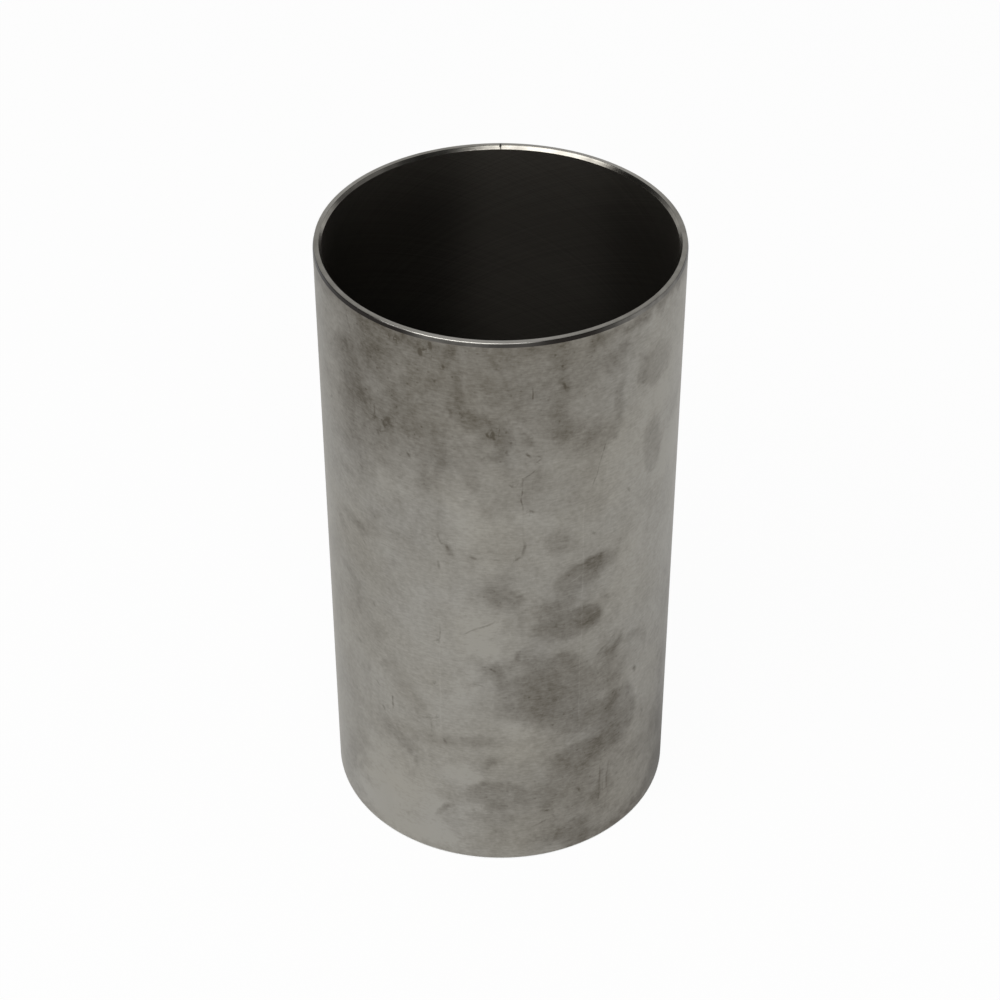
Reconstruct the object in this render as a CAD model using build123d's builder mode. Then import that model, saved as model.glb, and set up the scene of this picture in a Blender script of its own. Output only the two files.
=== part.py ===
"""Dry cylinder liner: a plain thin-walled sleeve of grey cast iron that is pressed into an engine block.

It is one turned piece with no flange. The bore is honed for the piston, the outside is ground for a press fit
in the block, and both ends are faced square.
The frame's origin is the centre of the bottom face, with +Z along the bore towards the top face.
All sizes are in millimetres.
"""

import os

from build123d import *

# Driving dimensions
BORE_DIAMETER = 103.0
WALL_THICKNESS = 2.5
LENGTH = 200.0

# Edges. The top has a long shallow lead-in outside, where the block's counterbore meets it.
TOP_LEAD_LENGTH = 1.3
TOP_LEAD_DEPTH = 0.3
CHAMFER_WIDTH = 0.8
CHAMFER_HEIGHT = 1.0
BOTTOM_EDGE_BREAK = 0.3

# Nick across the inner corner of the top face, at the back. It starts inside the bore and ends on the face.
NICK_ANGLE = 90.0
NICK_WIDTH = 0.6
NICK_DEPTH = 0.45
NICK_START_IN_BORE = 1.0
NICK_END_FROM_OUTSIDE = 0.6

bore_radius = BORE_DIAMETER / 2
outer_radius = bore_radius + WALL_THICKNESS
nick_inner_radius = bore_radius - NICK_START_IN_BORE
nick_outer_radius = outer_radius - NICK_END_FROM_OUTSIDE


# The wall's section, on the X side of the axis, taken once round the axis.
with BuildPart() as liner:
    with BuildSketch(Plane.XZ):
        with BuildLine():
            Polyline(
                (bore_radius + CHAMFER_WIDTH, 0),
                (outer_radius - BOTTOM_EDGE_BREAK, 0),
                (outer_radius, BOTTOM_EDGE_BREAK),
                (outer_radius, LENGTH - TOP_LEAD_LENGTH),
                (outer_radius - TOP_LEAD_DEPTH, LENGTH),
                (bore_radius + CHAMFER_WIDTH, LENGTH),
                (bore_radius, LENGTH - CHAMFER_HEIGHT),
                (bore_radius, CHAMFER_HEIGHT),
                close=True,
            )
        make_face()
    revolve(axis=Axis.Z)

    # The nick is a small V-groove of one depth, cut radially across the face's inner corner.
    nick_plane = Plane.XZ.rotated((0, 0, NICK_ANGLE - 90)).offset(-nick_inner_radius)
    with BuildSketch(nick_plane):
        with BuildLine():
            Polyline(
                (-NICK_WIDTH / 2, LENGTH),
                (0, LENGTH - NICK_DEPTH),
                (NICK_WIDTH / 2, LENGTH),
                close=True,
            )
        make_face()
    extrude(amount=-(nick_outer_radius - nick_inner_radius), mode=Mode.SUBTRACT)

liner.part.label = "cylinder_liner"

os.makedirs("parts", exist_ok=True)
export_step(liner.part, "parts/cylinder_liner.step")
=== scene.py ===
"""Cylinder liner: a flangeless dry sleeve of grey cast iron, ground outside and honed inside.

Everything is in metres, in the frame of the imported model: the origin is the centre of the bottom end face
and +Z runs up the bore. The nick in the top face is at +Y, the back, and the camera stands at -Y.
"""

import math

import bpy
import numpy as np
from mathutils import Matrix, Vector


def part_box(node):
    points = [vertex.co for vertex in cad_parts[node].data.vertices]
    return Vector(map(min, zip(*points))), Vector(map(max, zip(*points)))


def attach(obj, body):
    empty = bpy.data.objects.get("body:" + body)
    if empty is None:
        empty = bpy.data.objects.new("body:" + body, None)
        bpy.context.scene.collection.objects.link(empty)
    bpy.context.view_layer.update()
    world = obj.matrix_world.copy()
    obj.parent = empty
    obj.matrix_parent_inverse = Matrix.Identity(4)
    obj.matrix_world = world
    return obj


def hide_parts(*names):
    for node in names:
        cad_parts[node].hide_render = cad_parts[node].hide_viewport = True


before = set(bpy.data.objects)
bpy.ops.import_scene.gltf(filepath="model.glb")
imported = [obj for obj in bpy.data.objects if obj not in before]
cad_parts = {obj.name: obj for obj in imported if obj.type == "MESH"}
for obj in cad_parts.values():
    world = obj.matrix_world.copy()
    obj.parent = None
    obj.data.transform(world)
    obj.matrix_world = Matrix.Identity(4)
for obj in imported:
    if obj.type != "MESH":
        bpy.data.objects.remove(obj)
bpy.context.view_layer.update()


# ----------------------------------------------------------------------------------------------------------
# Liner body. One centrifugally cast tube of grey iron. Both ends are faced and chamfered in the lathe, the
# outside is ground to size for a press fit in the block, and the bore is honed for the piston.
# ----------------------------------------------------------------------------------------------------------

MM = 0.001
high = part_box("cylinder_liner")[1]
OUTER_RADIUS = high.x
LENGTH = high.z
WALL = 2.5 * MM
BORE_RADIUS = OUTER_RADIUS - WALL
CHAMFER_WIDTH = 0.8 * MM
CHAMFER_HEIGHT = 1.0 * MM
TOP_LEAD_LENGTH = 1.3 * MM
TOP_LEAD_DEPTH = 0.3 * MM
BOTTOM_EDGE_BREAK = 0.3 * MM
SHARP_CORNER = 0.06 * MM
LEAD_CORNER = 0.3 * MM

NICK_ANGLE = math.radians(90)
NICK_WIDTH = 0.6 * MM
NICK_DEPTH = 0.45 * MM
NICK_END_FROM_OUTSIDE = 0.6 * MM
NICK_RUN_OUT = 0.2 * MM
# Where the rings near the nick lie, and how near the even ones come, in half widths of the nick
NICK_RINGS = [-1.3, -1.0, -0.5, 0.0, 0.5, 1.0, 1.3]
NICK_CLEAR = 1.8

# The sides of the section, in order round it from the bottom of the outside wall
BOTTOM_BREAK, OUTSIDE, LEAD_IN, TOP_FACE, TOP_CHAMFER, BORE, BOTTOM_CHAMFER, BOTTOM_FACE = range(8)

RING_STEPS = 432
ROWS = {OUTSIDE: 150, TOP_CHAMFER: 5, TOP_FACE: 3, BORE: 12}
FEWEST_ROWS = 2
CORNER_STEPS = 4
HOLD = 0.12 * MM


def wall_section():
    """Closed section of the wall as (radius, height) points, and the side of it that each step lies on.

    Each corner is an arc tangent to its two sides: its centre is the corner less the arc's radius times the
    sum of the two outward normals over one plus their dot product, and its points lie one arc radius from
    that centre along the normals between. Each side is then split in equal rows, with one more row HOLD
    from each of its ends, which keeps its shading flat up to the corner. A corner counts to the side after
    it, but the outer half of the one between the lead-in and the top face counts to the lead-in.
    """
    corners = np.array([
        (OUTER_RADIUS - BOTTOM_EDGE_BREAK, 0.0),
        (OUTER_RADIUS, BOTTOM_EDGE_BREAK),
        (OUTER_RADIUS, LENGTH - TOP_LEAD_LENGTH),
        (OUTER_RADIUS - TOP_LEAD_DEPTH, LENGTH),
        (BORE_RADIUS + CHAMFER_WIDTH, LENGTH),
        (BORE_RADIUS, LENGTH - CHAMFER_HEIGHT),
        (BORE_RADIUS, CHAMFER_HEIGHT),
        (BORE_RADIUS + CHAMFER_WIDTH, 0.0),
    ])
    arc_radii = np.full(len(corners), SHARP_CORNER)
    arc_radii[TOP_FACE] = LEAD_CORNER
    along = np.roll(corners, -1, axis=0) - corners
    along /= np.linalg.norm(along, axis=1)[:, None]
    normals = np.stack([along[:, 1], -along[:, 0]], axis=1)
    before = np.roll(normals, 1, axis=0)
    cosine = (before * normals).sum(1)
    centres = corners - arc_radii[:, None] * (before + normals) / (1 + cosine)[:, None]
    turn = np.arccos(cosine)[:, None, None]
    share = np.linspace(0, 1, CORNER_STEPS + 1)[None, :, None]
    fan = np.sin((1 - share) * turn) * before[:, None] + np.sin(share * turn) * normals[:, None]
    arcs = centres[:, None] + arc_radii[:, None, None] * (fan / np.sin(turn))
    points, sides = [], []
    for side in range(len(corners)):
        start, end = arcs[side, -1], arcs[(side + 1) % len(corners), 0]
        hold = HOLD / np.linalg.norm(end - start)
        between = np.linspace(0, 1, ROWS.get(side, FEWEST_ROWS) + 1)[1:-1]
        cuts = np.concatenate([[hold], between, [1 - hold]])
        points += [arcs[side], start + cuts[:, None] * (end - start)]
        sides += [np.full(CORNER_STEPS + len(cuts) + 1, side)]
        if side == TOP_FACE:
            sides[-1][:CORNER_STEPS // 2] = LEAD_IN
    return np.concatenate(points), np.concatenate(sides)


def ring_angles():
    """Angles once round the axis: an even ring, with its steps by the nick moved to its edges and floor."""
    even = np.arange(RING_STEPS) * 2 * math.pi / RING_STEPS - math.pi
    half = NICK_WIDTH / 2 / BORE_RADIUS
    at_nick = NICK_ANGLE + half * np.array(NICK_RINGS)
    clear = np.abs(even - NICK_ANGLE) > NICK_CLEAR * half
    return np.sort(np.concatenate([even[clear], at_nick]))


def nick_share(angles, radius):
    """How far the nick is cut, from 0 to 1: one less the distance from its line over half its width.

    It runs out in NICK_RUN_OUT at its outer end.
    """
    across = np.abs((angles[:, None] - NICK_ANGLE) * radius[None, :])
    to_end = OUTER_RADIUS - NICK_END_FROM_OUTSIDE - radius[None, :]
    return np.clip(to_end / NICK_RUN_OUT, 0, 1) * np.clip(1 - across / (NICK_WIDTH / 2), 0, 1)


def revolve(section, angles):
    """Points of the section carried round Z: radius r, height h at angle a become (r cos a, r sin a, h).

    Near the top no point stands above the nick's floor, which is the top less the nick's depth times its
    share.
    """
    radius, height = section.T
    floor = LENGTH - NICK_DEPTH * nick_share(angles, radius)
    z = np.where(height > LENGTH / 2, np.minimum(height, floor), height)
    return np.stack([radius * np.cos(angles)[:, None], radius * np.sin(angles)[:, None], z], axis=-1)


def closed_faces(rings, count):
    """Quads that join each point of the section, and each ring, to the next, closed both ways."""
    ring = np.arange(rings)[:, None] * count
    following = np.roll(ring, -1, axis=0)
    here = np.arange(count)[None, :]
    there = np.roll(here, -1, axis=1)
    quads = [ring + here, following + here, following + there, ring + there]
    return np.stack(quads, axis=-1).reshape(-1, 4)


section, sides = wall_section()
angles = ring_angles()
points = revolve(section, angles)
mesh = bpy.data.meshes.new("liner_body")
mesh.from_pydata(points.reshape(-1, 3), [], closed_faces(len(angles), len(section)))
mesh.polygons.foreach_set("use_smooth", np.ones(len(mesh.polygons), bool))
liner = bpy.data.objects.new("liner_body", mesh)
bpy.context.scene.collection.objects.link(liner)


# Handling marks on the ground wall, and painted shade low on its right, where the wall mirrors the liner's
# shadow on the floor. Angles are in degrees round the axis, with the camera at -90, heights are in
# millimetres from the bottom face, and sizes are half sizes in millimetres. Oil and sweat dull the iron to
# a darker grey, in a haze that is thin where the wall was wiped and thick where it was held. A strength is
# the share of clean iron that a mark takes away, or gives back where it is negative.
HAZE = 0.27

# Wiped patches: angle, height, half width, half height, tilt, share of the haze that is gone
WIPED = [
    (-103, 139, 12, 9, 0, 0.60), (-84, 137, 8, 5, 0, 0.35), (-100, 96, 9, 10, 20, 0.75),
    (-117, 92, 8, 13, 0, 0.30), (-82, 49, 10, 7, 0, 0.85), (-103, 36, 6, 4, 0, 0.90),
    (-124, 12, 17, 13, 0, 0.85), (-32, 165, 12, 30, 0, 0.30), (-42, 108, 13, 20, 0, 0.35),
    (-116, 118, 12, 14, 0, 0.20), (-84, 13, 7, 6, 0, 0.40), (-114, 72, 22, 38, 0, 0.50),
    (-96.2, 21.6, 2.0, 1.6, 0, 0.60), (-136, 28, 8, 12, 0, 0.50), (-47, 150, 12, 16, 0, 0.60),
    (-120, 30, 13, 8, 0, 0.60), (-96, 14, 9, 12, 0, 0.45), (-92, 126, 7, 6, 0, 0.40),
    (-86, 4, 7, 5, 0, 0.70), (-136, 6, 11, 8, 0, 0.45), (-20, 145, 14, 46, 0, 0.45),
    (25, 150, 12, 17, 0, 0.60), (60, 100, 14, 15, 0, 0.60), (95, 60, 10, 17, 10, 0.60),
    (120, 160, 12, 19, 0, 0.50), (150, 30, 12, 14, 0, 0.50), (160, 120, 10, 20, 0, 0.60),
    (20, 60, 10, 12, 0, 0.50), (110, 110, 9, 10, 0, 0.50),
]

# Broad smoky areas with paler spots between, then smudges from the top down, on the left and on the right
# by turns, among them painted shade low on the right: angle, height, half width, half height, tilt,
# strength
SMUDGES_AND_SHADE = [
    (-126, 180, 23, 25, 0, 0.40), (-136, 190, 9, 10, 0, 0.26), (-122, 198, 17, 3.5, 0, 0.34),
    (-104, 188, 9, 16, 0, 0.20), (-155, 165, 15, 36, 0, 0.22), (-162, 80, 7, 11, 0, 0.26),
    # The first two marks on this line are painted shade: the liner's shadow on the floor, mirrored low on
    # the right
    (-12, 18, 20, 34, 0, 0.36), (-13, 68, 13, 26, 0, 0.20), (-66, 36, 17, 32, 0, 0.16),
    (-62, 63, 6, 5, 0, 0.22), (-82, 157, 7, 6, 0, 0.14), (-140, 150, 12, 9, 0, 0.10),
    # The last two marks on this line are painted shade low on the right, the mirrored shadow of the liner
    (-154, 30, 12, 24, 0, 0.14), (-10, 28, 12, 34, 0, 0.42), (-12, 3, 14, 9, 0, 0.45),
    (-132, 177, 16, 14, 0, 0.20), (-104, 166, 11, 12, 0, 0.18), (-112, 140, 7, 10, 0, 0.16),
    (-68, 103, 8, 6, 0, 0.14), (-83.5, 85, 5, 3.6, 0, 0.24), (-62, 58, 8, 6, 0, 0.18),
    (-66, 7, 12, 8, 0, 0.18), (-94, 188, 3, 6, 0, -0.14), (-30, 164, 5, 6, 0, -0.12),
    (-35, 196, 7, 4, 0, -0.30), (-17, 142, 8, 10, 0, -0.26), (-34, 186, 5, 6, 0, -0.10),
    (-30, 170, 5, 8, 0, -0.10), (-166, 109, 5, 6, 0, -0.24), (-136, 18, 8, 18, 0, -0.12),
    (-112, 4, 10, 6, 0, -0.12), (-132, 3, 9, 6, 0, -0.08), (-93, 164, 5, 4, 0, 0.18),
    (-86, 163, 4, 4, 0, 0.12), (-109, 157, 5, 4, 0, 0.12), (-126, 149, 5, 4, 0, 0.13),
    (-79, 86, 4, 4, 0, 0.26), (-26, 22, 8, 12, 0, -0.16), (-44, 110, 7, 20, 0, -0.12),
    (-118, 192, 6, 6, 0, 0.12), (-78, 197, 5, 3, 0, 0.12), (-78, 149, 4, 4, 0, 0.12),
    (-119, 54, 7, 9, 0, 0.12), (-55, 16, 9, 8, 0, 0.14), (-134, 86, 4, 4, 0, -0.14),
    (-142, 49, 5, 6, 0, -0.12), (-102, 72, 5, 6, 0, -0.12), (-94, 93, 5, 5, 0, -0.12),
    (-94, 119, 5, 5, 0, -0.12), (-64, 179, 5, 8, 0, -0.14), (-38, 163, 4, 6, 0, -0.16),
    (-118, 163, 3, 4, 0, -0.16), (-78, 61, 4, 4, 0, -0.16), (-105, 4, 10, 4, 0, -0.08),
    # The last mark on this line is painted shade low on the right
    (-24, 61, 5, 5, 0, -0.16), (-30, 141, 5, 8, 0, -0.16), (-13, 30, 4, 8, 0, 0.30),
    (-55, 197, 5, 3, 0, 0.16), (-14, 80, 7, 12, 0, 0.10), (-66, 108, 6, 4, 0, 0.08),
    (-83, 190, 16, 13, 0, 0.36), (-62, 188, 8, 9, 0, 0.26), (-78, 170, 17, 9, 0, 0.20),
    # The marks at heights of 198 and more on this and the next two lines darken the wall just under its top
    # edge
    (-53, 188, 4, 5, 0, 0.22), (-100, 199, 45, 2.6, 0, 0.25), (-167, 199, 20, 4, 0, 0.70),
    (-140, 198.8, 10, 3.2, 0, 0.36), (-20, 199.3, 25, 4.2, 0, 0.62), (5, 198, 16, 6, 0, 0.60),
    (-122, 199, 12, 2.4, 0, 0.20),

    (-141.5, 176.5, 4.4, 11, -32, 0.46), (-137.5, 172.5, 2.0, 4, -25, 0.30),
    (-146, 173, 3.2, 4.5, 0, 0.22), (-141.5, 162, 5, 10, 0, 0.24), (-131.5, 165, 3.5, 3.5, 0, 0.14),
    (-126, 166.2, 1.9, 2.3, 0, 0.40), (-119.5, 172, 2.6, 2.2, 0, 0.20), (-123, 176, 3, 2, 0, 0.14),
    (-118.8, 181, 2, 3, 0, 0.16), (-115, 168, 4, 3, 0, 0.12), (-134, 188.5, 3.5, 2.5, 0, 0.20),
    (-133.5, 194, 4, 3, 0, 0.25), (-105.6, 195, 1.4, 4, 0, 0.45), (-106.8, 191.5, 1.2, 1.5, 0, 0.30),
    (-102.4, 184.5, 1.7, 7.5, -5, 0.55), (-101, 176, 4, 4, 0, 0.28), (-95.5, 171.5, 8.5, 3.6, 30, 0.36),
    (-88.8, 166.5, 2.4, 6, 0, 0.40), (-92.5, 169, 2, 2, 0, 0.18), (-107.5, 184.5, 2.5, 2, 0, 0.20),
    (-105, 181.5, 1, 4, 0, 0.20), (-108.9, 162, 2.4, 8, -6, 0.28), (-108.3, 155.5, 2.1, 3.2, 0, 0.28),
    (-114, 150, 2.6, 9, 0, 0.16), (-109.2, 146, 1.6, 5, 0, 0.14), (-109.3, 137, 1.5, 5, 0, 0.10),
    (-98.4, 154.5, 1.8, 5.5, -5, 0.28), (-91, 161.5, 2.6, 1.5, 0, 0.16),
    (-137, 148.5, 3.2, 2.4, 0, 0.16), (-130, 150.5, 1.6, 1.2, 0, 0.14), (-134, 144.5, 2, 1, 0, 0.18),
    (-134, 153, 4, 3, 0, 0.08), (-160.5, 166.5, 4, 3.5, -40, 0.16), (-152.8, 148.4, 4, 0.9, -30, 0.20),
    (-146, 138.9, 3, 0.9, 0, 0.22), (-121, 158, 8, 5, 0, 0.12),

    (-72.3, 193, 2.8, 6, 0, 0.36), (-70.9, 186, 1.2, 4, 0, 0.30), (-61.3, 195.5, 2.8, 3.2, -20, 0.55),
    (-57, 197.8, 4, 1, 0, 0.30), (-45.5, 196.6, 5, 1.3, 0, 0.35), (-82.5, 174.5, 1, 2.5, 0, 0.20),
    (-82.4, 167.5, 1.1, 3.2, -35, 0.30), (-72.4, 171.5, 2.8, 7, 0, 0.30),
    (-68.5, 168, 3.5, 1.8, 0, 0.20), (-74, 168.3, 3, 1.5, 0, 0.16), (-62.5, 164, 3.4, 2.4, 15, 0.26),
    (-60, 162.5, 6, 5, 0, 0.18), (-51.3, 171, 1.9, 7.5, 0, 0.36), (-52.6, 160.8, 1.3, 1.3, 0, 0.30),
    (-54.5, 163, 2.5, 2.2, 0, 0.20), (-46.8, 160.5, 1, 1, 0, 0.22), (-50.6, 177.4, 1.3, 1.1, 0, 0.20),
    (-76, 150, 7, 4, 0, 0.12), (-79.5, 145, 3, 4, 0, 0.08), (-42.6, 183.8, 0.8, 2.4, -40, 0.24),
    (-19.5, 152, 3.6, 5, 0, 0.18),

    (-145, 121.7, 7.5, 1.9, 0, 0.28), (-139.6, 120.8, 2.4, 2.2, 0, 0.20),
    (-151.6, 116.8, 4.6, 1.4, 22, 0.20), (-132, 130.6, 3, 1.5, 0, 0.20), (-135, 127, 5, 5, 0, 0.10),
    (-126.3, 115.5, 1.6, 2.2, 0, 0.14), (-105.5, 126.2, 1.3, 2.4, -30, 0.34),
    (-98.6, 120.5, 1, 3, 0, 0.12), (-90.5, 115, 5, 2.5, 0, 0.14), (-83.4, 101, 0.9, 5, 0, 0.16),
    (-149, 99.3, 6.6, 1.5, 17, 0.24), (-142, 92, 2.2, 6, 0, 0.12), (-134, 84.5, 3, 3, 0, 0.12),
    (-155, 85, 5, 2, 0, 0.10), (-126.5, 71, 5, 6, 0, 0.14), (-130.5, 71, 2.2, 1.6, 0, 0.12),
    (-143.5, 74, 3, 1.6, 0, 0.12), (-125.6, 92, 1.5, 2, 0, 0.14), (-91.8, 80, 5, 5, 0, 0.28),
    (-90.6, 80.2, 2, 2.6, 0, 0.25), (-98.5, 74.6, 2.4, 0.9, -15, 0.20), (-90, 76, 2, 2, 0, 0.14),
    (-118, 63, 3.4, 2.6, 0, 0.14), (-95, 66, 6, 4, 0, 0.08),

    (-71.5, 129.6, 5.4, 3.4, 0, 0.30), (-68, 129.6, 2, 1.6, 0, 0.20), (-69, 106.5, 3.6, 3.4, 0, 0.30),
    (-73, 104.5, 3, 4, 0, 0.20), (-65, 100.5, 3, 1.2, 0, 0.20), (-75, 96, 5.5, 6.5, 0, 0.24),
    (-50.6, 79.6, 4.4, 1.3, -27, 0.50), (-54, 80, 4, 4, 0, 0.20), (-48.4, 82.7, 1.2, 1.2, 0, 0.35),
    (-53, 70, 7, 6, 0, 0.28), (-52, 66, 5, 2.5, 0, 0.14), (-84.6, 86.4, 0.9, 2, 0, 0.42),
    (-48.5, 94.5, 1.5, 2, 0, 0.12), (-35.8, 120, 1, 3, 0, 0.14), (-30.2, 104.5, 1, 3, 0, 0.12),
    (-15, 77, 4, 5, 0, 0.22), (-54, 101.5, 3, 1.6, 0, 0.14), (-40.2, 82.7, 1.2, 1.2, 0, 0.12),
    # The last two marks on this line are painted shade low on the right, the mirrored shadow of the liner
    (-86.5, 76, 5, 1.2, -35, 0.16), (-14, 18, 9, 22, 0, 0.45), (-18, 4, 16, 8, 0, 0.45),
    (-40, 4, 10, 5, 0, 0.20),

    (-125, 43.8, 8.5, 2.8, 28, 0.34), (-121.5, 39.6, 1.3, 2.2, 0, 0.20),
    (-118.9, 36.6, 0.9, 2.6, 0, 0.26), (-119, 47.2, 1.5, 2, 0, 0.20), (-120.5, 31, 1.3, 2.6, 20, 0.12),
    (-100, 50.5, 11, 2.6, 0, 0.24), (-108.6, 49.4, 1.3, 1.1, 0, 0.16),
    (-112.8, 41.5, 1.3, 1.2, 0, 0.14), (-93.8, 42.7, 1.6, 2.6, 30, 0.32), (-95, 42.5, 3.6, 3, 0, 0.14),
    (-90, 19, 3.5, 6, 0, 0.22), (-88, 10, 12, 10, 0, 0.10), (-107, 15, 4, 4, 0, 0.14),
    (-97, 18.5, 3.4, 1.1, 0, 0.22), (-153.5, 17, 4.5, 16, 27, 0.22), (-150, 47, 4, 3, 0, 0.12),
    (-152, 36, 6, 8, 0, 0.08), (-149.5, 4.5, 1.8, 1, 0, 0.16), (-145, 20.3, 2.8, 1, -20, 0.14),
    (-138.5, 66.3, 1.2, 1.6, 30, 0.20), (-141, 64, 4, 4, 0, 0.10),

    (-80, 62, 8, 4.5, 0, 0.26), (-64, 56, 5, 4.5, 0, 0.36), (-50.5, 55, 3, 4, 0, 0.20),
    (-49, 41.5, 2.5, 3, 0, 0.20), (-68, 27, 11, 8, 0, 0.42), (-54.3, 23.5, 1.1, 6.5, 3, 0.40),
    (-56.2, 19.5, 1.4, 2.4, 0, 0.35), (-51, 25.5, 1, 5.5, 0, 0.25), (-63.5, 6.5, 6, 7.5, 0, 0.42),
    (-38, 22, 16, 14, 0, 0.24), (-37, 30, 5.5, 3, 0, 0.16), (-34, 43, 1.5, 2, 0, 0.14),
    # The second mark on this line is painted shade along the bottom on the right
    (-19, 43, 1.6, 3, 0, 0.14), (-24, 1.5, 20, 6, 0, 0.62), (-50, 1.5, 10, 2.5, 0, 0.30),
    (-22, 50, 12, 14, 0, 0.10),
]

# Prints with one crisp edge, the one low on the right at -14 degrees painted shade: angle, height, half
# width, half height, tilt, strength, and the bearing of that edge in degrees round the middle, from the
# mark's own right
PRINTS_AND_SHADE = [
    (-62, 114.6, 10, 5.0, -17, 0.46, 100), (-59.6, 117.6, 3.6, 2.8, -15, 0.40, 80),
    (-66.5, 96, 10.2, 6.0, 0, 0.44, 20), (-60.3, 95.5, 4.3, 3.0, 0, 0.40, 0),
    (-71.3, 71.2, 11.2, 14.3, 0, 0.44, 60), (-79.5, 69, 10.5, 11, -20, 0.26, 115),
    (-89.5, 109.8, 6.8, 3.8, 15, 0.36, 30), (-91, 28.5, 9.5, 6, 0, 0.34, 90),
    (-48.5, 49.5, 10, 12.5, 0, 0.52, 25), (-63, 39.5, 10, 6.5, 0, 0.48, 90),
    # The first mark on this line is painted shade low on the right, the liner's shadow on the floor as
    # mirrored
    (-14, 26, 6.5, 8, 0, 0.60, 180), (-35.5, 177.5, 8.5, 7.2, 20, 0.34, -125),
    (-42.3, 176.3, 1.6, 2.8, -40, 0.18, -125), (-35.4, 149.5, 4.4, 10.5, -6, 0.34, -100),
]

# Open rings of grime where a fingertip lifted: angle, height, half width, half height, band, strength,
# bearing, spread
RINGS = [
    (-45, 70, 9.5, 10.8, 1.6, 0.24, 50, 55), (-105, 13, 7, 8, 1.0, 0.30, 130, 45),
    (-45, 46, 10, 10.6, 0.8, -0.30, 62, 28),
]

# The half turned from the camera was handled in the same way
BACK_SMUDGES = [
    (58, 186, 30, 14, 0, 0.34), (126, 190, 24, 11, 0, 0.28), (160, 184, 10, 16, 0, 0.22),
    (18, 178, 8, 16, 10, 0.24), (84, 176, 9, 5, 25, 0.24), (70, 168, 2.4, 9, -8, 0.28),
    (112, 172, 2, 7, 0, 0.26), (140, 168, 7, 4, -20, 0.22), (48, 158, 5, 2.5, 20, 0.20),
    (156, 146, 2.6, 8, -10, 0.22), (8, 128, 3, 6, 0, 0.20), (120, 142, 6, 2, -15, 0.22),
    (76, 140, 1.2, 7, 0, 0.24), (62, 118, 4, 1.2, 20, 0.24), (88, 100, 9, 16, 0, 0.10),
    (150, 110, 12, 9, 0, 0.12), (104, 88, 5, 2, -25, 0.22), (72, 72, 7, 4, 15, 0.20),
    (172, 80, 5, 9, 0, 0.20), (98, 52, 9, 3, 12, 0.24), (46, 22, 12, 16, 0, 0.22),
    (112, 16, 16, 12, 0, 0.26), (36, 4, 18, 6, 0, 0.40), (146, 6, 14, 7, 0, 0.30),
    (176, 50, 5, 12, -15, 0.18),
]
BACK_PRINTS = [
    (38, 128, 10, 5.2, -16, 0.42, 100), (40.5, 131, 3.6, 2.8, -15, 0.34, 80),
    (34, 110, 10.5, 6, -8, 0.40, 60), (40.5, 109.5, 4.3, 3, 0, 0.32, 20),
    (29, 87, 10.5, 12.5, 0, 0.38, 70), (20, 84, 9, 9, -20, 0.22, 115),
    (98, 150, 8.5, 7, 20, 0.30, -125), (103, 124, 4.4, 10, -6, 0.30, -100),
    (134, 97, 10, 5.6, 12, 0.34, 100), (137, 78, 9.5, 7, 0, 0.34, 60), (130, 58, 10.5, 11, 0, 0.38, 80),
    (60, 44, 12, 8, -10, 0.40, 90), (84, 28, 13, 8, 0, 0.36, 90), (14, 36, 8, 11, 12, 0.38, 30),
    (160, 27, 9, 8, 0, 0.36, 120),
]
BACK_RINGS = [
    (66, 88, 9.5, 10.8, 1.6, 0.22, 50, 55), (112, 62, 8, 9, 1.2, 0.22, 110, 50),
    (166, 120, 8, 9, 1.4, 0.20, 60, 60), (128, 60, 10.6, 11.2, 0.8, -0.20, 40, 30),
]

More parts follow.
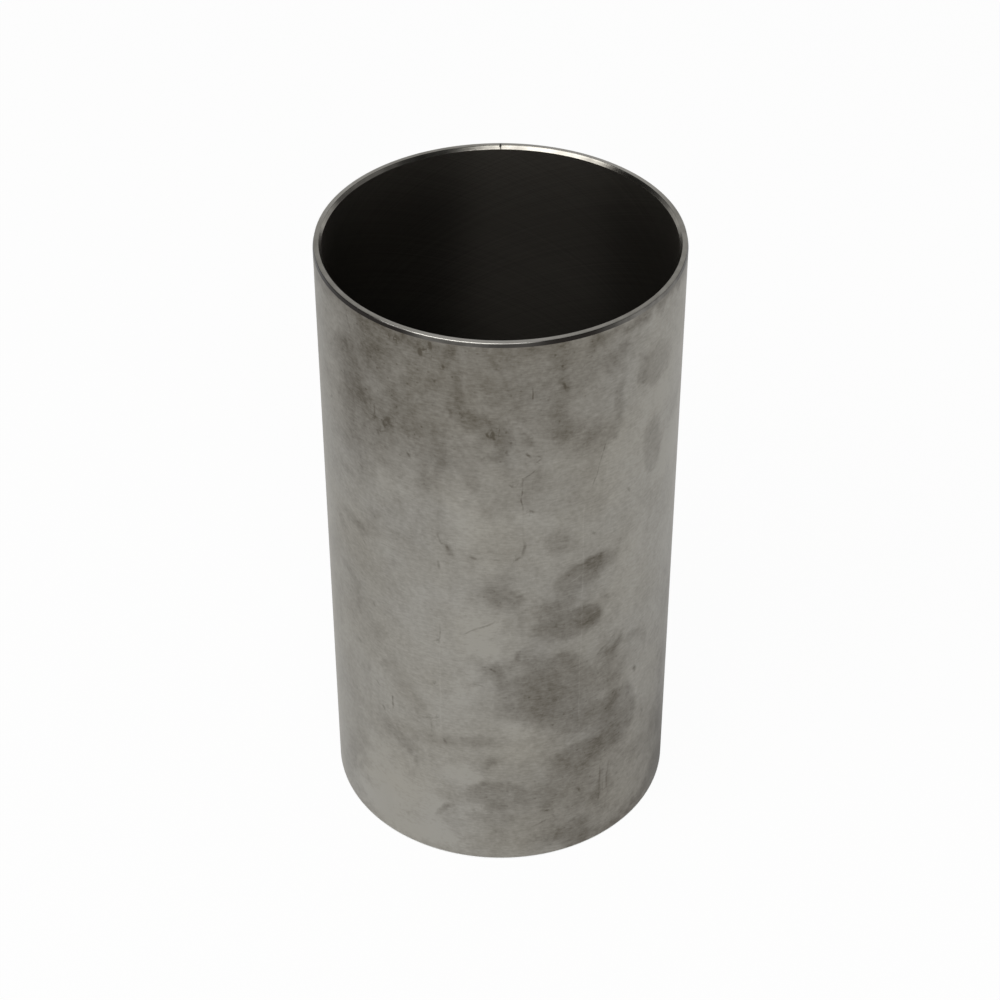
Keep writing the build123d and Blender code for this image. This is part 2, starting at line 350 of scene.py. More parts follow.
# Scores, scuffs and specks: angle and height of one end, of the other end, half width, strength
SCORES = [
    (-142.5, 194.9, -142.3, 194.3, 0.4, 0.35), (-141.3, 191.8, -141.1, 191.2, 0.4, 0.35),
    (-124.5, 196.4, -124.4, 195.6, 0.4, 0.35), (-121.8, 197, -120.6, 196.2, 0.6, 0.45),
    (-114, 194.6, -113.8, 193.4, 0.6, 0.50), (-111, 197.3, -110.9, 196.6, 0.5, 0.40),
    (-107, 191.3, -106.9, 190.7, 0.4, 0.40), (-104.9, 175.5, -104.9, 174.9, 0.5, 0.45),
    (-137.4, 173, -134.5, 169, 0.6, 0.20), (-131, 169.5, -131, 166.5, 0.3, 0.25),
    (-134, 162.8, -131, 166, 0.5, 0.20), (-125.6, 167.4, -125.2, 166.2, 1.0, 0.34),
    (-127.5, 165.3, -127.3, 164.7, 0.4, 0.40), (-129.7, 162.1, -129.4, 161.3, 1.0, 0.38),
    (-92.6, 170.5, -92.3, 170, 0.4, 0.40), (-94.1, 169.4, -93.8, 169, 0.35, 0.35),
    (-92.4, 168.4, -92.1, 168, 0.35, 0.35), (-88.8, 171.2, -88.5, 170.8, 0.35, 0.35),
    (-88.6, 165.8, -88.3, 165.2, 0.4, 0.40), (-88.4, 163.2, -88.1, 162.7, 0.35, 0.35),
    (-156.6, 159.2, -155.8, 159.8, 0.5, 0.35), (-118.9, 157.2, -118.5, 156.6, 0.4, 0.45),
    (-139.2, 145.1, -138.5, 144.8, 0.3, 0.35), (-109.4, 141, -109.3, 134, 0.4, 0.10),
    (-80.5, 184.6, -80.5, 181.4, 0.16, 0.40), (-71.1, 184.4, -70.9, 183.6, 0.4, 0.35),
    (-81.5, 161.7, -81.2, 161.3, 0.35, 0.50), (-79.5, 159.2, -78.9, 158.8, 0.2, 0.35),
    (-78.1, 160.7, -77.5, 160.3, 0.2, 0.35), (-80.4, 155.6, -83.2, 153.4, 0.2, 0.40),
    (-83.4, 153.4, -83.4, 142.5, 0.22, 0.42), (-81, 142, -80.6, 141.6, 0.35, 0.40),
    (-85.2, 151, -84.8, 150.6, 0.3, 0.30), (-86.9, 151.1, -86.5, 150.7, 0.3, 0.30),
    (-83.4, 142, -83.2, 131, 0.3, 0.08), (-56.8, 160, -58, 155, 0.2, 0.30),
    (-58, 155, -60.2, 147.2, 0.18, 0.35), (-46.6, 139.4, -45.4, 137.4, 0.35, 0.40),
    (-106.9, 128, -106.5, 127, 0.5, 0.35), (-98.9, 124.5, -98, 124.2, 0.4, 0.40),
    (-93, 124.3, -90.8, 124.2, 0.2, 0.35), (-90, 124.1, -86.4, 124.2, 0.14, 0.20),
    (-82.6, 129.4, -83.3, 125.4, 0.5, 0.36), (-83.6, 125, -85.8, 123.8, 0.4, 0.32),
    (-59.7, 128.2, -59.3, 127.8, 0.4, 0.35), (-109.4, 120.6, -109.2, 119.4, 0.4, 0.35),
    (-129.5, 119.8, -126, 120, 0.25, 0.25), (-109.6, 131, -108.8, 129, 0.3, 0.30),
    (-138.9, 116.4, -138.6, 116, 0.4, 0.35), (-93, 99.4, -95.4, 98, 0.3, 0.40),
    (-96, 97.8, -98.2, 96.8, 0.28, 0.40), (-98.8, 96.5, -101, 95, 0.26, 0.35),
    (-109.8, 96, -109.6, 92, 0.22, 0.35), (-109.2, 91, -111.5, 89.8, 0.3, 0.35),
    (-134.7, 94, -134.3, 93.6, 0.5, 0.30), (-143.8, 74.2, -143.1, 73.8, 0.4, 0.25),
    (-112.3, 72.5, -111.3, 72.2, 0.35, 0.45), (-92.9, 81.6, -91.8, 80.8, 0.4, 0.40),
    (-98, 74.8, -96, 74.4, 0.25, 0.30), (-134.8, 62.3, -134.2, 61.7, 0.5, 0.36),
    (-39.9, 64.9, -39.5, 64.3, 0.75, 0.60), (-57, 79.6, -50.8, 84.6, 0.4, 0.22),
    (-67.2, 112.8, -63, 114.6, 0.24, -0.16), (-63.5, 139, -63.5, 52, 0.2, -0.12),
    (-128.3, 60.2, -128.3, 55.2, 0.3, 0.45), (-132.4, 53, -132, 52.3, 0.45, 0.40),
    (-115.5, 57, -110.5, 58.7, 0.3, 0.32), (-113.3, 57.2, -113.3, 53.3, 0.3, 0.36),
    (-126.2, 48.2, -125.8, 47.4, 0.5, 0.25), (-108.6, 49.6, -108.3, 49.2, 0.4, 0.30),
    (-98.8, 21, -98.4, 20.4, 0.5, 0.35), (-112.5, 16, -111.5, 18.5, 0.5, 0.20),
    (-111.5, 18.5, -109, 20, 0.5, 0.22), (-109, 20, -105.5, 21.7, 0.5, 0.20),
    (-63.1, 25.5, -62.7, 24.9, 0.5, 0.40), (-74.9, 19.7, -73.1, 19.5, 0.4, 0.35),
    (-75.5, 15, -79, 13.5, 0.3, 0.30), (-72.2, 16.9, -71.8, 16.5, 0.4, 0.30),
    (-54.6, 31, -54.2, 17, 0.3, 0.20), (-51, 30, -51.4, 20, 0.3, 0.20),
    (-34.2, 43.2, -33.9, 42.6, 0.4, 0.25), (-19.2, 43.3, -18.9, 42.7, 0.4, 0.25),
    (-109.8, 88, -109.8, 54, 0.2, -0.10), (25, 188, 25.4, 170, 0.2, 0.30),
    (70, 168, 72, 150, 0.25, 0.25), (104, 120, 101, 112, 0.24, 0.36), (118, 182, 118, 176, 0.3, 0.40),
    (40, 112, 43, 108, 0.25, 0.36), (90, 84, 90, 40, 0.2, -0.12), (150, 160, 150, 110, 0.2, -0.12),
    (60, 86, 64, 84, 0.3, 0.36), (130, 30, 136, 34, 0.3, 0.30), (8, 98, 8.3, 97.4, 0.5, 0.45),
    (84, 104, 84.4, 103.4, 0.4, 0.45), (165, 70, 165.6, 69.6, 0.45, 0.45),
]

RIPPLE_WAVES = 28


def ripple(turn, height, seed, finest, broadest):
    """Smooth noise of unit spread, the same again after each full turn.

    It is a sum of sines of (n times the turn + k times the height + phase), each with a whole number n of
    waves round the axis and k waves up it, for wave lengths between the finest and the broadest in
    millimetres, with the longer waves the stronger.
    """
    draw = np.random.default_rng(seed)
    length = np.exp(draw.uniform(math.log(finest), math.log(broadest), RIPPLE_WAVES))
    heading = draw.uniform(0, math.pi, RIPPLE_WAVES)
    around = np.round(2 * math.pi * OUTER_RADIUS / MM / length * np.cos(heading))
    up = 2 * math.pi / length * np.sin(heading)
    phase = draw.uniform(0, 2 * math.pi, RIPPLE_WAVES)
    power = np.sqrt(length / length.sum())
    wave = np.sin(around * turn[..., None] + up * height[..., None] + phase)
    return math.sqrt(2) * (wave * power).sum(-1)


def smooth(value):
    """Smooth step from 0 to 1: three times the square of the clipped value less twice its cube."""
    value = np.clip(value, 0, 1)
    return value * value * (3 - 2 * value)


# Two ripples shift each mark's outline, so that none is a plain ellipse: finest and broadest wave, share
SHIFTS = [(9, 40, 1.0), (3.5, 9, 0.7)]
SHIFT_SEEDS_ALONG, SHIFT_SEEDS_UP = (3, 4), (5, 6)

angle = np.degrees(np.arctan2(points[..., 1], points[..., 0]))
height = points[..., 2] / MM
turn = np.radians(angle)
shift_along, shift_up = [
    sum(share * ripple(turn, height, seed, *waves) for seed, (*waves, share) in zip(seeds, SHIFTS))
    for seeds in (SHIFT_SEEDS_ALONG, SHIFT_SEEDS_UP)
]


def place(mark_angle, mark_height, tilt=0.0, shifted=1.0):
    """Millimetres along and up the wall from a mark's middle, in the mark's own turned axes."""
    off_angle = np.radians((angle - mark_angle + 180) % 360 - 180)
    along = off_angle * OUTER_RADIUS / MM + shifted * shift_along
    up = height - mark_height + shifted * shift_up
    cosine, sine = math.cos(math.radians(tilt)), math.sin(math.radians(tilt))
    return along * cosine - up * sine, along * sine + up * cosine


# How far the ripples shift a soft mark, in millimetres: a share of its smaller half size, up to a most
SHIFT_SHARE = 0.22
MOST_SHIFT = 1.6


def soft_spot(mark_angle, mark_height, half_width, half_height, tilt):
    """One near the middle of an ellipse, a half at its edge, and nothing past one and a half of it."""
    shifted = min(MOST_SHIFT, SHIFT_SHARE * min(half_width, half_height))
    along, up = place(mark_angle, mark_height, tilt, shifted)
    return smooth(1.5 - np.hypot(along / half_width, up / half_height))


# The haze swings by a share of itself, in waves between two lengths in millimetres
HAZE_SWING = 0.16
HAZE_WAVES = (20, 90)
HAZE_SEED = 8
haze = HAZE * (1 + HAZE_SWING * ripple(turn, height, HAZE_SEED, *HAZE_WAVES))
for *spot, strength in WIPED:
    haze *= 1 - strength * soft_spot(*spot)
clean = 1 - haze
for *spot, strength in SMUDGES_AND_SHADE + BACK_SMUDGES:
    clean *= 1 - strength * soft_spot(*spot)

# A print's edge is as wide as this share of its size, down to the crisp share at its crisp bearing
SOFT_EDGE = 0.9
CRISP_EDGE = 0.2
CRISP_POWER = 1.5
PRINT_SHIFT = 0.3
for mark_angle, mark_height, half_width, half_height, tilt, strength, crisp in PRINTS_AND_SHADE + BACK_PRINTS:
    along, up = place(mark_angle, mark_height, tilt, PRINT_SHIFT)
    reach = np.hypot(along / half_width, up / half_height)
    bearing = np.arctan2(up / half_height, along / half_width)
    facing = 0.5 + 0.5 * np.cos(bearing - math.radians(crisp))
    edge = SOFT_EDGE - (SOFT_EDGE - CRISP_EDGE) * facing ** CRISP_POWER
    clean *= 1 - strength * smooth(0.5 + (1 - reach) / edge)

# A ring fades out at the ends of its spread, in this many degrees of bearing
RING_FADE = 25
RING_SHIFT = 0.5
for mark_angle, mark_height, half_width, half_height, band, strength, middle, spread in RINGS + BACK_RINGS:
    along, up = place(mark_angle, mark_height, shifted=RING_SHIFT)
    off = np.abs(np.hypot(along / half_width, up / half_height) - 1) * (half_width + half_height) / 2
    bearing = np.degrees(np.arctan2(up / half_height, along / half_width))
    gap = np.abs((bearing - middle + 180) % 360 - 180)
    clean *= 1 - strength * smooth(1.5 - off / band) * smooth((spread - gap) / RING_FADE)

# Each point keeps its place across the nearest score within reach, in half widths of it, and the score's
# strength, which fades past its ends. All but the first are in millimetres.
FAR_OFF = 9.0
SCORE_REACH = 3.0
SCORE_FADE = 1.2
SCORE_SHIFT = 0.12
across = np.full_like(height, FAR_OFF)
depth = np.zeros_like(height)
nearest = np.full_like(height, SCORE_REACH)
for start_angle, start_height, end_angle, end_height, half_width, strength in SCORES:
    from_start, up = place(start_angle, start_height, shifted=SCORE_SHIFT)
    run = math.radians(end_angle - start_angle) * OUTER_RADIUS / MM
    rise = end_height - start_height
    length = math.hypot(run, rise)
    along = (from_start * run + up * rise) / length
    side = (from_start * rise - up * run) / length
    past = np.maximum(0, np.maximum(-along, along - length))
    off = np.hypot(side, past)
    closer = off < nearest
    across[closer] = side[closer] / half_width
    depth[closer] = strength * smooth(1 - past[closer] / SCORE_FADE)
    nearest[closer] = off[closer]


def stretch(middle, half):
    """One near the middle of a stretch of the ring, down to nothing at 1.3 of its half width in degrees."""
    return smooth(1.3 - np.abs((angle - middle + 180) % 360 - 180) / half)


below_top = LENGTH / MM - height
# Bright stretches of the top lead-in: angle, half width in degrees, strength. The two at the front left are
# painted light, where the lamp's reflection falls.
BURNISHED_AND_LIT = [
    (-106, 13, 0.15), (-88, 12, 0.065), (-38, 20, 0.25), (-8, 16, 0.02), (60, 22, 0.08), (130, 30, 0.12),
]
# Where its corner with the land is brighter, within CORNER_BAND millimetres of the top: the three at the
# front are a painted glint of the lamp
CORNER_GLINT_AND_WEAR = [(-104, 12, 1.4), (-88, 9, 0.6), (-121, 9, 0.5), (60, 20, 0.25), (150, 16, 0.2)]
CORNER_BAND = 0.3
at_corner = smooth((CORNER_BAND - below_top) / CORNER_BAND * 2)
rubbed_and_glint = np.zeros_like(height)
for middle, half, strength in BURNISHED_AND_LIT:
    rubbed_and_glint += strength * stretch(middle, half)
for middle, half, strength in CORNER_GLINT_AND_WEAR:
    rubbed_and_glint += strength * stretch(middle, half) * at_corner

# Where the flat land of the top is brighter, the two at the front being a painted highlight, where the
# lamp's glint on the corner spreads onto it
LAND_WEAR_AND_SHEEN = [(-97, 36, 0.44), (-104, 12, 0.12), (60, 40, 0.5), (150, 25, 0.3)]
land_wear_and_sheen = np.zeros_like(height)
for middle, half, strength in LAND_WEAR_AND_SHEEN:
    land_wear_and_sheen += strength * stretch(middle, half)

# Darker iron: it darkens the nick, and puts painted shade on a stretch of the top chamfer beside the lamp's
# flash, from CORNER_HEIGHT millimetres down
NICK_DARKENING = 1.6
CHAMFER_SHADE = [(48, 17, 0.55)]
CORNER_HEIGHT = 0.4
darkened_nick_and_shade = smooth(NICK_DARKENING * nick_share(angles, section[:, 0]))
for middle, half, strength in CHAMFER_SHADE:
    darkened_nick_and_shade = np.maximum(darkened_nick_and_shade, strength * stretch(middle, half) * smooth(below_top / CORNER_HEIGHT))
darkened_nick_and_shade *= height > LENGTH / MM / 2

FIELDS = {"stain_and_shade": 1 - clean, "score_across": across, "score_depth": depth, "rubbed_and_glint": rubbed_and_glint, "land_wear_and_sheen": land_wear_and_sheen,
          "darkened_nick_and_shade": darkened_nick_and_shade}
for field, values in FIELDS.items():
    attribute = mesh.attributes.new(field, "FLOAT", "POINT")
    attribute.data.foreach_set("value", values.astype(np.float32).ravel())


def linear(code):
    """A hex sRGB colour as linear red, green, blue and an alpha of one."""
    value = np.array([int(code[i:i + 2], 16) for i in (1, 3, 5)]) / 255
    value = np.where(value <= 0.04045, value / 12.92, ((value + 0.055) / 1.055) ** 2.4)
    return (*value, 1.0)


def node(tree, kind, inputs=None, **settings):
    """Adds a shader node of that kind, with its settings and inputs.

    Each input is set to a value, or linked to a socket or to the first output of a node.
    """
    made = tree.nodes.new("ShaderNode" + kind)
    for key, value in settings.items():
        setattr(made, key, value)
    for key, value in (inputs or {}).items():
        if isinstance(value, bpy.types.Node):
            value = value.outputs[0]
        if isinstance(value, bpy.types.NodeSocket):
            tree.links.new(value, made.inputs[key])
        else:
            made.inputs[key].default_value = value
    return made


def new_material(name):
    """Adds a material to the liner's mesh. Returns its empty node tree, and its Object coordinates."""
    material = bpy.data.materials.new(name)
    material.use_nodes = True
    material.node_tree.nodes.clear()
    mesh.materials.append(material)
    return material.node_tree, node(material.node_tree, "TexCoord").outputs["Object"]


# Ground grey cast iron: a soft even grey, with stains from handling that are cloudy and grainy up close,
# painted shade low on the right, broken lines from the wheel, thin scores, and dark specks of graphite and
# grime. Real grinding lines are a few hundredths of a millimetre apart, so they are drawn coarser here.
CLEAN_IRON, STAINED_AND_SHADED_IRON = "#a3a19c", "#5b564e"
CLEAN_ROUGHNESS, STAINED_ROUGHNESS = 0.44, 0.38
# The grain's dark side swings further than its pale one, and all of it further on stained iron
GRAIN = {"Scale": 1 / (15 * MM), "Detail": 8.0, "Roughness": 0.78, "Distortion": 0.35}
DARK_SIDE = 1.5
CLEAN_SWING, STAINED_SWING = 0.72, 0.6
# Turn about Y, stretch, cell size, detail and share of the grinding lines, the fine grain, wiping streaks
# and clouds
PATTERNS = [
    (0.0, (0.30, 0.30, 1.0), 0.6 * MM, 2.0, 0.46),
    (0.0, (1.0, 1.0, 1.0), 1.3 * MM, 3.0, 0.36),
    (0.45, (1.0, 1.0, 0.12), 1.5 * MM, 2.0, 0.10),
    (0.0, (1.0, 1.0, 1.0), 55 * MM, 1.0, 0.06),
]
# One cell in so many has a speck, whose edge lies between two shares of the cell's size
SPECK_SPACING = 3 * MM
SPECK_INNER, SPECK_OUTER = 0.08, 0.16
NO_SPECK = 0.3
CLEAN_SPECK, STAINED_SPECK = 0.02, 0.28
# A score's edge, in its half widths, and the noise that breaks it: size, range, and what is left in a break
SCORE_INNER, SCORE_OUTER = 0.3, 1.6
BREAK_SIZE = 2.0 * MM
BREAK_FROM, BREAK_TO, IN_BREAK = 0.38, 0.58, 0.3
# Old oil tints the iron in broad clouds, by between two shares of the tint
OIL_TINT = "#fffbf1"
TINT_SIZE = 30 * MM
LEAST_TINT, MOST_TINT = 0.2, 0.6

tree, coord = new_material("cast_iron_ground_and_handled")
stain_and_shade = node(tree, "Attribute", attribute_name="stain_and_shade").outputs["Fac"]
grain = node(tree, "TexNoise", {"Vector": coord, **GRAIN})
grain = node(tree, "Math", {0: grain, 1: 0.5}, operation="SUBTRACT")
darker = node(tree, "Math", {0: grain, 1: DARK_SIDE, 2: 1.0}, operation="MULTIPLY_ADD")
grain = node(tree, "Math", {0: grain, 1: darker}, operation="MULTIPLY")
swing = node(tree, "Math", {0: stain_and_shade, 1: STAINED_SWING, 2: CLEAN_SWING}, operation="MULTIPLY_ADD")
amount = node(tree, "Math", {0: grain, 1: swing, 2: stain_and_shade}, operation="MULTIPLY_ADD")
for slant, stretched, cell, detail, share in PATTERNS:
    turned = node(tree, "VectorRotate", {"Vector": coord, "Angle": slant}, rotation_type="Y_AXIS")
    scaled = node(tree, "VectorMath", {0: turned, 1: stretched}, operation="MULTIPLY")
    pattern = node(tree, "TexNoise", {"Vector": scaled, "Scale": 1 / cell, "Detail": detail})
    pattern = node(tree, "Math", {0: pattern, 1: share, 2: -share / 2}, operation="MULTIPLY_ADD")
    amount = node(tree, "Math", {0: amount, 1: pattern}, operation="ADD")
cells = node(tree, "TexVoronoi", {"Vector": coord, "Scale": 1 / SPECK_SPACING})
speck = node(tree, "MapRange", {"Value": cells.outputs["Distance"], "From Min": SPECK_INNER,
                                "From Max": SPECK_OUTER, "To Min": 1.0, "To Max": 0.0})
chance = node(tree, "SeparateColor", {0: cells.outputs["Color"]})
chosen = node(tree, "Math", {0: chance, 1: NO_SPECK}, operation="GREATER_THAN")
strong = node(tree, "Math", {0: stain_and_shade, 1: STAINED_SPECK, 2: CLEAN_SPECK}, operation="MULTIPLY_ADD")
strong = node(tree, "Math", {0: strong, 1: chosen}, operation="MULTIPLY")
amount = node(tree, "Math", {0: speck, 1: strong, 2: amount}, operation="MULTIPLY_ADD")
score_across = node(tree, "Attribute", attribute_name="score_across").outputs["Fac"]
off_line = node(tree, "Math", {0: score_across}, operation="ABSOLUTE")
on_line = node(tree, "MapRange", {"Value": off_line, "From Min": SCORE_INNER, "From Max": SCORE_OUTER,
                                  "To Min": 1.0, "To Max": 0.0}, interpolation_type="SMOOTHSTEP")
breaks = node(tree, "TexNoise", {"Vector": coord, "Scale": 1 / BREAK_SIZE, "Detail": 1.0})
whole = node(tree, "MapRange", {"Value": breaks, "From Min": BREAK_FROM, "From Max": BREAK_TO,
                                "To Min": IN_BREAK})
whole = node(tree, "Math", {0: whole, 1: on_line}, operation="MULTIPLY")
score_depth = node(tree, "Attribute", attribute_name="score_depth").outputs["Fac"]
amount = node(tree, "Math", {0: whole, 1: score_depth, 2: amount}, operation="MULTIPLY_ADD", use_clamp=True)
colour = node(tree, "Mix", {"Factor": amount, "A": linear(CLEAN_IRON), "B": linear(STAINED_AND_SHADED_IRON)},
              data_type="RGBA")
tint = node(tree, "TexNoise", {"Vector": coord, "Scale": 1 / TINT_SIZE, "Detail": 4.0})
tint = node(tree, "MapRange", {"Value": tint, "From Min": 0.3, "From Max": 0.7, "To Min": LEAST_TINT,
                               "To Max": MOST_TINT})
colour = node(tree, "Mix", {"Factor": tint, "A": colour.outputs["Result"], "B": linear(OIL_TINT)},
              data_type="RGBA", blend_type="MULTIPLY")
rough = node(tree, "MapRange", {"Value": amount, "To Min": CLEAN_ROUGHNESS, "To Max": STAINED_ROUGHNESS})
shader = node(tree, "BsdfPrincipled", {"Metallic": 1.0, "Base Color": colour.outputs["Result"],
                                       "Roughness": rough})
node(tree, "OutputMaterial", {"Surface": shader})

# Turned cast iron of the top lead-in: painted dark, a painted reflection of the dark surroundings that it
# mirrors, rubbed bright in patches, and with a painted glint of the lamp at its corner with the land
DARK_REFLECTION_IRON, RUBBED_AND_GLINT_IRON = "#2c2927", "#d0cdc6"
PATCH_SIZE = 4 * MM
PATCH_SWING, PATCH_LEAST = 1.6, 0.2
tree, coord = new_material("cast_iron_turned_lead_in")
rubbed_and_glint_in = node(tree, "Attribute", attribute_name="rubbed_and_glint").outputs["Fac"]
patches = node(tree, "TexNoise", {"Vector": coord, "Scale": 1 / PATCH_SIZE, "Detail": 4.0})
patches = node(tree, "Math", {0: patches, 1: PATCH_SWING, 2: PATCH_LEAST}, operation="MULTIPLY_ADD")
share = node(tree, "Math", {0: rubbed_and_glint_in, 1: patches}, operation="MULTIPLY", use_clamp=True)
colour = node(tree, "Mix", {"Factor": share, "A": linear(DARK_REFLECTION_IRON), "B": linear(RUBBED_AND_GLINT_IRON)},
              data_type="RGBA")
shader = node(tree, "BsdfPrincipled", {"Metallic": 1.0, "Base Color": colour.outputs["Result"],
                                       "Roughness": 0.33})
node(tree, "OutputMaterial", {"Surface": shader})

# The lathe's lines on the faces and the chamfers, drawn coarser than life
TOOL_LINES = 0.35 * MM
LINES_SHARE = 0.4
# The colour of the darkened nick and of the painted shade on the chamfer
DARKENED_IRON = "#45423d"


def lathe_tone(tree, coord, place_across, wear_size, dull, bright):
    """Colour between dull and bright, by lines TOOL_LINES apart across the cut, plus a cloudy wear."""
    lines = node(tree, "TexNoise", {"W": place_across, "Scale": 1 / TOOL_LINES, "Detail": 1.0},
                 noise_dimensions="1D")
    wear = node(tree, "TexNoise", {"Vector": coord, "Scale": 1 / wear_size, "Detail": 4.0})
    both = node(tree, "Math", {0: lines, 1: LINES_SHARE, 2: wear}, operation="MULTIPLY_ADD")
    both = node(tree, "MapRange", {"Value": both, "From Min": 0.5, "From Max": 0.9})
    tone = node(tree, "Mix", {"Factor": both, "A": linear(dull), "B": linear(bright)}, data_type="RGBA")
    return tone.outputs["Result"]


def with_darkening(tree, tone):
    """The tone, darkened in the nick and with painted shade on the chamfer, where the mesh has it."""
    darkening_in = node(tree, "Attribute", attribute_name="darkened_nick_and_shade").outputs["Fac"]
    mixed = node(tree, "Mix", {"Factor": darkening_in, "A": tone, "B": linear(DARKENED_IRON)}, data_type="RGBA")
    return mixed.outputs["Result"]


# Faced cast iron: a pale even ring from the lathe tool, with faint rings round it, slightly uneven wear,
# and paler stretches of the land, at its front a painted highlight
PALE_LAND_IRON = "#cfccc6"
tree, coord = new_material("cast_iron_faced")
flat = node(tree, "VectorMath", {0: coord, 1: (1, 1, 0)}, operation="MULTIPLY")
radius_in = node(tree, "VectorMath", {0: flat}, operation="LENGTH").outputs["Value"]
tone = lathe_tone(tree, coord, radius_in, wear_size=5 * MM, dull="#97948c", bright="#afaca5")
wear_and_sheen_in = node(tree, "Attribute", attribute_name="land_wear_and_sheen").outputs["Fac"]
tone = node(tree, "Mix", {"Factor": wear_and_sheen_in, "A": tone, "B": linear(PALE_LAND_IRON)}, data_type="RGBA")
shader = node(tree, "BsdfPrincipled", {"Metallic": 1.0, "Roughness": 0.33,
                                       "Base Color": with_darkening(tree, tone.outputs["Result"])})
node(tree, "OutputMaterial", {"Surface": shader})

# Cast iron of the chamfers: turned finer than the faces, so it is smoother and flashes towards the lamp
tree, coord = new_material("cast_iron_chamfered")
height_in = node(tree, "SeparateXYZ", {0: coord}).outputs["Z"]
tone = lathe_tone(tree, coord, height_in, wear_size=4 * MM, dull="#76736d", bright="#908d86")
shader = node(tree, "BsdfPrincipled", {"Metallic": 1.0, "Roughness": 0.20,
                                       "Base Color": with_darkening(tree, tone)})
node(tree, "OutputMaterial", {"Surface": shader})

# Honed cast iron of the bore: painted darker than the outside, as shade inside the deep tube, with the
# stones' fine cross-hatch of two crossed helices, drawn coarser than life. It spreads each reflection up
# and down.
HONE_ANGLE = math.radians(25)
HONE_LINES = 0.7 * MM
HONE_STRETCH = 0.02
HONED_DARK, HONED_PALE = "#5e5a54", "#6c6861"
TURNS_PER_RISE = 1 / (BORE_RADIUS * math.tan(HONE_ANGLE))
tree, coord = new_material("cast_iron_honed")
height_in = node(tree, "SeparateXYZ", {0: coord}).outputs["Z"]
both = 0.0
for hand in (TURNS_PER_RISE, -TURNS_PER_RISE):
    wound = node(tree, "Math", {0: height_in, 1: hand}, operation="MULTIPLY")
    unwound = node(tree, "VectorRotate", {"Vector": coord, "Angle": wound}, rotation_type="Z_AXIS")
    scaled = node(tree, "VectorMath", {0: unwound, 1: (1.0, 1.0, HONE_STRETCH)}, operation="MULTIPLY")
    lines = node(tree, "TexNoise", {"Vector": scaled, "Scale": 1 / HONE_LINES, "Detail": 2.0})
    both = node(tree, "Math", {0: lines, 1: 0.5, 2: both}, operation="MULTIPLY_ADD")
both = node(tree, "MapRange", {"Value": both, "From Min": 0.35, "From Max": 0.65})
colour = node(tree, "Mix", {"Factor": both, "A": linear(HONED_DARK), "B": linear(HONED_PALE)},
              data_type="RGBA")
shader = node(tree, "BsdfPrincipled", {"Metallic": 0.91, "Base Color": colour.outputs["Result"],
                                       "Roughness": 0.30, "Anisotropic": 0.8, "Anisotropic Rotation": 0.25})
node(tree, "OutputMaterial", {"Surface": shader})

# The finish of each side of the section, by the order in which the materials were added
GROUND, TURNED, FACED, CHAMFERED, HONED = range(5)
FINISH_OF_SIDE = {BOTTOM_BREAK: CHAMFERED, OUTSIDE: GROUND, LEAD_IN: TURNED, TOP_FACE: FACED,
                  TOP_CHAMFER: CHAMFERED, BORE: HONED, BOTTOM_CHAMFER: CHAMFERED, BOTTOM_FACE: FACED}
finish = np.array([FINISH_OF_SIDE[side] for side in sides])
mesh.polygons.foreach_set("material_index", np.tile(finish, len(angles)).astype(np.int32))

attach(liner, "root")
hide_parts("cylinder_liner")


# ----------------------------------------------------------------------------------------------------------
# Studio: a sheet of white paper for a floor, a white sweep low down all round, a soft glow behind, at the
# right and overhead, and one long softbox at the front left.
# ----------------------------------------------------------------------------------------------------------

FLOOR_HALF = 6.0
PAPER, WHITE = "#f4f4f2", "#ffffff"
# How much of its own white the floor shows to the camera, and to what mirrors it
FLOOR_GLOW = 0.96
MIRRORED_GLOW = 0.58
# Patches close to the liner where that is another: x, y, radius where the change is full and where it
# ends, all in millimetres, and change. The first is a painted shadow, where the liner's shadow falls, and
# the second painted light at the front left.
PATCHES = [(58, 1, 4, 32, -0.40), (-52, -62, 10, 60, 0.10)]
bpy.ops.mesh.primitive_plane_add(size=2 * FLOOR_HALF, location=(0, 0, 0))
floor = bpy.context.object
floor.name = "floor"
material = bpy.data.materials.new("paper_floor")
material.use_nodes = True
tree = material.node_tree
tree.nodes.clear()
centre = node(tree, "TexCoord").outputs["Object"]
far = node(tree, "VectorMath", {0: centre}, operation="LENGTH").outputs["Value"]
outside = node(tree, "Math", {0: far, 1: OUTER_RADIUS}, operation="GREATER_THAN")
mirrored = MIRRORED_GLOW
for x, y, full, end, change in PATCHES:
    away = node(tree, "VectorMath", {0: centre, 1: (x * MM, y * MM, 0)}, operation="DISTANCE")
    patch = node(tree, "MapRange", {"Value": away.outputs["Value"], "From Min": full * MM,
                                    "From Max": end * MM, "To Min": change, "To Max": 0.0},
                 interpolation_type="SMOOTHSTEP")
    mirrored = node(tree, "Math", {0: mirrored, 1: patch}, operation="ADD")
path = node(tree, "LightPath")
share = node(tree, "Math", {0: path.outputs["Is Camera Ray"], 1: FLOOR_GLOW}, operation="MULTIPLY")
for kind in ("Is Glossy Ray", "Is Transmission Ray"):
    share = node(tree, "Math", {0: path.outputs[kind], 1: mirrored, 2: share}, operation="MULTIPLY_ADD")
share = node(tree, "Math", {0: share, 1: outside}, operation="MULTIPLY", use_clamp=True)
paper = node(tree, "BsdfDiffuse", {"Color": linear(PAPER)})
white = node(tree, "Emission", {"Color": linear(WHITE), "Strength": 1.0})
mixed = node(tree, "MixShader", {0: share, 1: paper, 2: white})
node(tree, "OutputMaterial", {"Surface": mixed})
floor.data.materials.append(material)

world = bpy.data.worlds.new("studio")
bpy.context.scene.world = world
world.use_nodes = True
tree = world.node_tree
tree.nodes.clear()


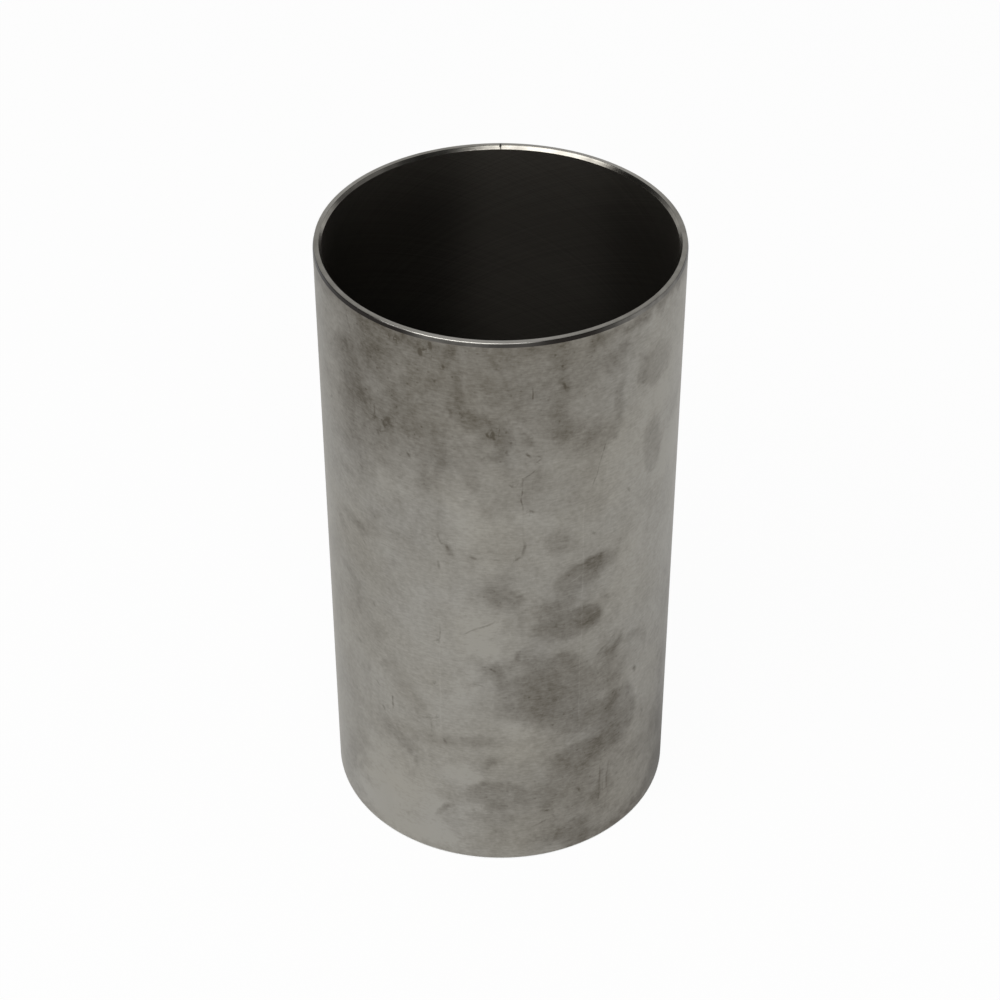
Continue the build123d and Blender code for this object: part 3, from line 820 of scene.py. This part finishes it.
def toward(azimuth, elevation):
    """Unit vector to a direction given in degrees, azimuth from +X."""
    azimuth, elevation = math.radians(azimuth), math.radians(elevation)
    level = math.cos(elevation)
    return (math.cos(azimuth) * level, math.sin(azimuth) * level, math.sin(elevation))


# Glows in the dark surround: azimuth and elevation of the middle, angle from it where it is full and where
# it ends in degrees, and level. The last is overhead.
DIM = 0.045
GLOWS = [(90, 28, 10, 65, 0.50), (10, 38, 8, 30, 0.36), (0, 90, 18, 40, 0.36)]
# Elevations between which the white sweep ends
SWEEP_FULL, SWEEP_END = 8, 18

ray = node(tree, "TexCoord").outputs["Generated"]
rise = node(tree, "SeparateXYZ", {0: ray}).outputs["Z"]
level = node(tree, "MapRange", {"Value": rise, "From Min": toward(0, SWEEP_FULL)[2],
                                "From Max": toward(0, SWEEP_END)[2], "To Min": 1.0, "To Max": DIM},
             interpolation_type="SMOOTHSTEP")
for azimuth, elevation, full, end, bright in GLOWS:
    near = node(tree, "VectorMath", {0: ray, 1: toward(azimuth, elevation)}, operation="DOT_PRODUCT")
    glow = node(tree, "MapRange", {"Value": near.outputs["Value"], "From Min": math.cos(math.radians(end)),
                                   "From Max": math.cos(math.radians(full)), "To Max": bright},
                interpolation_type="SMOOTHSTEP")
    level = node(tree, "Math", {0: level, 1: glow}, operation="MAXIMUM")
path = node(tree, "LightPath")
strength = node(tree, "Mix", {"Factor": path.outputs["Is Camera Ray"], "A": level, "B": 1.0})
sky = node(tree, "Background", {"Color": linear(WHITE), "Strength": strength})
node(tree, "OutputWorld", {"Surface": sky})


def softbox(name, azimuth, elevation, distance, width, height, radiance):
    """An area lamp that faces the middle of the liner's top from a direction in degrees, azimuth from +X.

    Its power in watts is four times its radiance times its area.
    """
    data = bpy.data.lights.new(name, "AREA")
    data.shape = "RECTANGLE"
    data.size, data.size_y = width, height
    data.energy = radiance * 4 * width * height
    lamp = bpy.data.objects.new(name, data)
    bpy.context.scene.collection.objects.link(lamp)
    lamp.location = np.array([0, 0, LENGTH]) + distance * np.array(toward(azimuth, elevation))
    lamp.rotation_euler = (math.radians(90 - elevation), 0, math.radians(azimuth + 90))


softbox("key", azimuth=-116, elevation=44, distance=1.6, width=2.6, height=0.60, radiance=3.9)

LENS = 87.6
SENSOR = 36.0
CAMERA_PLACE = (-0.00016, -0.5956, 0.5741)
CAMERA_PITCH = 38.30
data = bpy.data.cameras.new("camera")
data.lens = LENS
data.sensor_width = SENSOR
camera = bpy.data.objects.new("camera", data)
bpy.context.scene.collection.objects.link(camera)
camera.location = CAMERA_PLACE
camera.rotation_euler = (math.radians(90 - CAMERA_PITCH), 0, 0)
bpy.context.scene.camera = camera
bpy.context.scene.view_settings.view_transform = "Standard"
